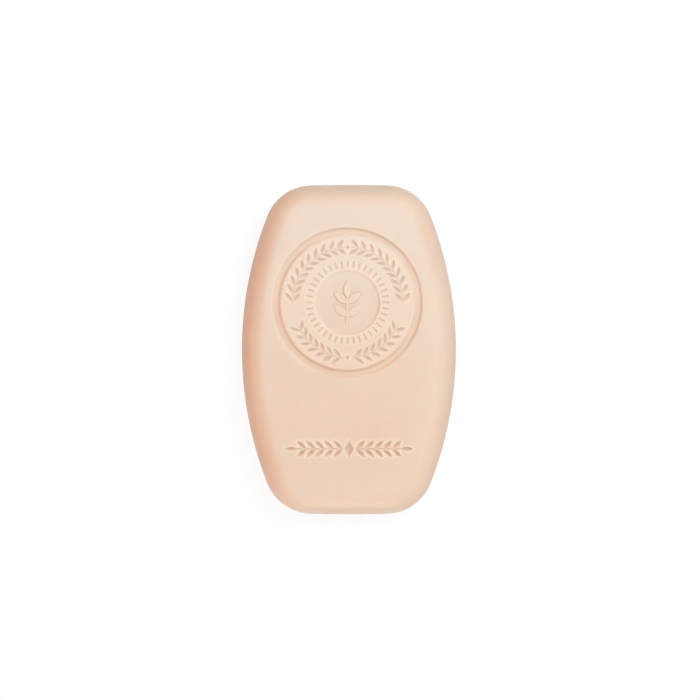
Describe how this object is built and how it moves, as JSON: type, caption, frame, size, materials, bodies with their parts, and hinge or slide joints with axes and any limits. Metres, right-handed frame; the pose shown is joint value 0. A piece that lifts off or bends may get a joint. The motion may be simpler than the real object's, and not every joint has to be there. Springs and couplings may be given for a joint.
{
  "type": "shampoo bar",
  "caption": "Pressed solid shampoo bar, barrel-shaped with rounded corners, a crowned front stamped with a ringed medallion and a leafy branch, and a flat back to lie on.",
  "frame": {"origin": "under the middle of the bar, on the surface it lies on", "axes": "+X to the right of the stamped front, +Y to its top end along the bar's length, +Z out of the stamped front"},
  "size_m": [0.0536, 0.0822, 0.0165],
  "materials": {
    "soap": "satin, waxy and slightly translucent"
  },
  "bodies": {
    "root": {"bar": "soap"}
  },
  "joints": []
}
